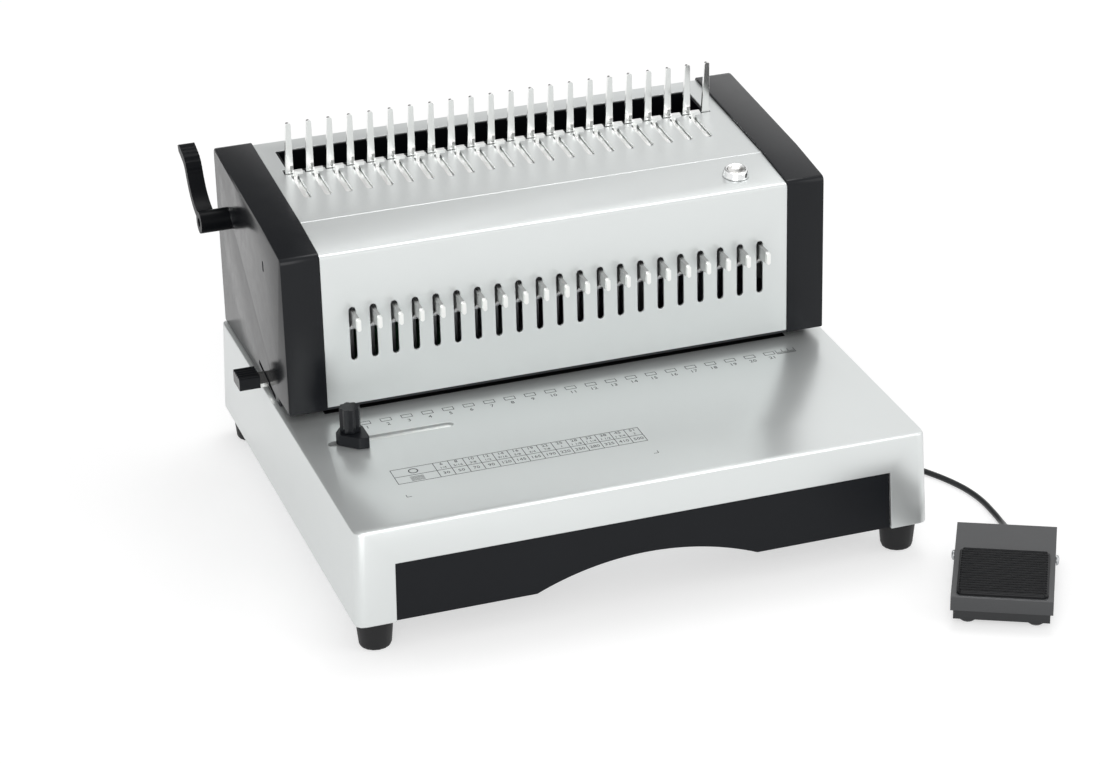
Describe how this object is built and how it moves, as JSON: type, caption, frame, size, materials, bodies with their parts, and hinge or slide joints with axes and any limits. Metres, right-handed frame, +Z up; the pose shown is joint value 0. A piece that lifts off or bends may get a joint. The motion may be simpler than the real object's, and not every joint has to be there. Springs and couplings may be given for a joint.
{
  "type": "comb binding machine",
  "caption": "Electric comb binding machine with punching head, die selectors, comb opener with lever, waste tray, edge guide and a separate foot pedal on a cord.",
  "frame": {"origin": "on the floor under the middle of the box round machine and pedal, cord left out", "axes": "+X to the right of someone facing the machine, +Y to the back, +Z up"},
  "size_m": [0.478, 0.5922, 0.2493],
  "materials": {
    "silver_paint": "light grey satin metallic paint",
    "zinc_plate": "zinc plated sheet",
    "black_plastic": "semi-gloss black moulding",
    "guide_plastic": "satin black moulding",
    "tray_plastic": "satin black moulding",
    "rubber": "matt black rubber",
    "pad_rubber": "ribbed black rubber",
    "cord_sheath": "satin black sheath",
    "chrome": "polished chrome plating",
    "nickel": "bright nickel plated steel",
    "steel": "ground steel",
    "motor_paint": "grey lacquer",
    "board": "green circuit board",
    "pedal_paint": "dark grey powder coat"
  },
  "bodies": {
    "base": {"base_shell": "silver_paint", "base_bottom_plate": "zinc_plate", "foot_front_left": "rubber", "foot_front_right": "rubber", "foot_rear_left": "rubber", "foot_rear_right": "rubber", "upper_cover": "silver_paint", "end_cap_left": "black_plastic", "end_cap_right": "black_plastic", "rear_panel": "silver_paint", "mechanism_frame": "zinc_plate", "punch_die_set": "steel", "gear_motor": "motor_paint", "control_board": "board", "comb_finger_plate": "chrome", "comb_well": "black_plastic", "button_bezel": "chrome", "mains_inlet": "black_plastic", "cord_relief_machine": "rubber", "pedal_base": "pedal_paint", "pedal_pivot_pin": "steel", "cord_relief_pedal": "rubber", "pedal_cord_lead": "cord_sheath", "pedal_cord_coil": "cord_sheath", "pedal_cord": "cord_sheath"},
    "tray": {"waste_tray": "tray_plastic"},
    "ram": {"punch_ram": "steel"},
    "cam": {"cam_shaft": "steel"},
    "opener": {"opener_shaft": "steel", "opener_lever": "black_plastic"},
    "hooks": {"opener_hook_plate": "chrome"},
    "button": {"push_button": "nickel"},
    "stop_bar": {"depth_stop_bar": "steel"},
    "slider": {"depth_slider": "black_plastic"},
    "edge_guide": {"edge_stop": "guide_plastic"},
    "guide_knob": {"edge_stop_knob": "black_plastic"},
    "rocker": {"rocker_switch": "black_plastic"},
    "pedal_tread": {"pedal_cover": "pedal_paint", "pedal_pad": "pad_rubber"},
    "selector_01": {"selector_01": "nickel"},
    "selector_02": {"selector_02": "nickel"},
    "selector_03": {"selector_03": "nickel"},
    "selector_04": {"selector_04": "nickel"},
    "selector_05": {"selector_05": "nickel"},
    "selector_06": {"selector_06": "nickel"},
    "selector_07": {"selector_07": "nickel"},
    "selector_08": {"selector_08": "nickel"},
    "selector_09": {"selector_09": "nickel"},
    "selector_10": {"selector_10": "nickel"},
    "selector_11": {"selector_11": "nickel"},
    "selector_12": {"selector_12": "nickel"},
    "selector_13": {"selector_13": "nickel"},
    "selector_14": {"selector_14": "nickel"},
    "selector_15": {"selector_15": "nickel"},
    "selector_16": {"selector_16": "nickel"},
    "selector_17": {"selector_17": "nickel"},
    "selector_18": {"selector_18": "nickel"},
    "selector_19": {"selector_19": "nickel"},
    "selector_20": {"selector_20": "nickel"},
    "selector_21": {"selector_21": "nickel"}
  },
  "joints": [
    {"name": "tray_slide", "type": "slide", "parent": "base", "child": "tray", "axis": [0, -1, 0], "range_m": [0, 0.18]},
    {"name": "ram_slide", "type": "slide", "parent": "base", "child": "ram", "axis": [0, 0, -1], "range_m": [0, 0.019]},
    {"name": "cam_turn", "type": "hinge", "parent": "base", "child": "cam", "pos_m": [-0.02868, 0.10643, 0.1435], "axis": [-1, 0, 0], "range_deg": [0, 180]},
    {"name": "lever_turn", "type": "hinge", "parent": "base", "child": "opener", "pos_m": [-0.02868, 0.18843, 0.177], "axis": [1, 0, 0], "range_deg": [0, 93]},
    {"name": "hook_slide", "type": "slide", "parent": "base", "child": "hooks", "axis": [0, -0.9977, -0.0682], "range_m": [0, 0.026]},
    {"name": "button_press", "type": "slide", "parent": "base", "child": "button", "axis": [0, 0.1183, -0.993], "range_m": [0, 0.002], "stiffness_N_per_m": 300, "springref_m": -0.0005},
    {"name": "slider_slide", "type": "slide", "parent": "base", "child": "slider", "axis": [0, 0.9819, 0.1895], "range_m": [-0.014, 0.012]},
    {"name": "stop_slide", "type": "slide", "parent": "base", "child": "stop_bar", "axis": [0, 1, 0], "range_m": [-0.0035, 0.003]},
    {"name": "edge_guide_slide", "type": "slide", "parent": "base", "child": "edge_guide", "axis": [1, 0, 0], "range_m": [-0.009, 0.063]},
    {"name": "knob_turn", "type": "hinge", "parent": "edge_guide", "child": "guide_knob", "pos_m": [-0.18718, 0.00893, 0.101], "axis": [0, 0, 1], "range_deg": [0, 360]},
    {"name": "rocker_tip", "type": "hinge", "parent": "base", "child": "rocker", "pos_m": [-0.13418, 0.22403, 0.13], "axis": [1, 0, 0], "range_deg": [0, 8]},
    {"name": "pedal_press", "type": "hinge", "parent": "base", "child": "pedal_tread", "pos_m": [0.19676, -0.17066, 0.015], "axis": [0.887, -0.4617, 0], "range_deg": [0, 5], "stiffness_Nm_per_rad": 0.8, "springref_deg": -8.59},
    {"name": "selector_01_pull", "type": "slide", "parent": "ram", "child": "selector_01", "axis": [0, -1, 0], "range_m": [0, 0.008]},
    {"name": "selector_02_pull", "type": "slide", "parent": "ram", "child": "selector_02", "axis": [0, -1, 0], "range_m": [0, 0.008]},
    {"name": "selector_03_pull", "type": "slide", "parent": "ram", "child": "selector_03", "axis": [0, -1, 0], "range_m": [0, 0.008]},
    {"name": "selector_04_pull", "type": "slide", "parent": "ram", "child": "selector_04", "axis": [0, -1, 0], "range_m": [0, 0.008]},
    {"name": "selector_05_pull", "type": "slide", "parent": "ram", "child": "selector_05", "axis": [0, -1, 0], "range_m": [0, 0.008]},
    {"name": "selector_06_pull", "type": "slide", "parent": "ram", "child": "selector_06", "axis": [0, -1, 0], "range_m": [0, 0.008]},
    {"name": "selector_07_pull", "type": "slide", "parent": "ram", "child": "selector_07", "axis": [0, -1, 0], "range_m": [0, 0.008]},
    {"name": "selector_08_pull", "type": "slide", "parent": "ram", "child": "selector_08", "axis": [0, -1, 0], "range_m": [0, 0.008]},
    {"name": "selector_09_pull", "type": "slide", "parent": "ram", "child": "selector_09", "axis": [0, -1, 0], "range_m": [0, 0.008]},
    {"name": "selector_10_pull", "type": "slide", "parent": "ram", "child": "selector_10", "axis": [0, -1, 0], "range_m": [0, 0.008]},
    {"name": "selector_11_pull", "type": "slide", "parent": "ram", "child": "selector_11", "axis": [0, -1, 0], "range_m": [0, 0.008]},
    {"name": "selector_12_pull", "type": "slide", "parent": "ram", "child": "selector_12", "axis": [0, -1, 0], "range_m": [0, 0.008]},
    {"name": "selector_13_pull", "type": "slide", "parent": "ram", "child": "selector_13", "axis": [0, -1, 0], "range_m": [0, 0.008]},
    {"name": "selector_14_pull", "type": "slide", "parent": "ram", "child": "selector_14", "axis": [0, -1, 0], "range_m": [0, 0.008]},
    {"name": "selector_15_pull", "type": "slide", "parent": "ram", "child": "selector_15", "axis": [0, -1, 0], "range_m": [0, 0.008]},
    {"name": "selector_16_pull", "type": "slide", "parent": "ram", "child": "selector_16", "axis": [0, -1, 0], "range_m": [0, 0.008]},
    {"name": "selector_17_pull", "type": "slide", "parent": "ram", "child": "selector_17", "axis": [0, -1, 0], "range_m": [0, 0.008]},
    {"name": "selector_18_pull", "type": "slide", "parent": "ram", "child": "selector_18", "axis": [0, -1, 0], "range_m": [0, 0.008]},
    {"name": "selector_19_pull", "type": "slide", "parent": "ram", "child": "selector_19", "axis": [0, -1, 0], "range_m": [0, 0.008]},
    {"name": "selector_20_pull", "type": "slide", "parent": "ram", "child": "selector_20", "axis": [0, -1, 0], "range_m": [0, 0.008]},
    {"name": "selector_21_pull", "type": "slide", "parent": "ram", "child": "selector_21", "axis": [0, -1, 0], "range_m": [0, 0.008]}
  ],
  "couplings": [
    {"joint": "hook_slide", "follows": "lever_turn", "m_per_rad": 0.016},
    {"joint": "cam_turn", "follows": "ram_slide", "rad_per_m": 165.3},
    {"joint": "stop_slide", "follows": "slider_slide", "ratio": 0.25}
  ]
}
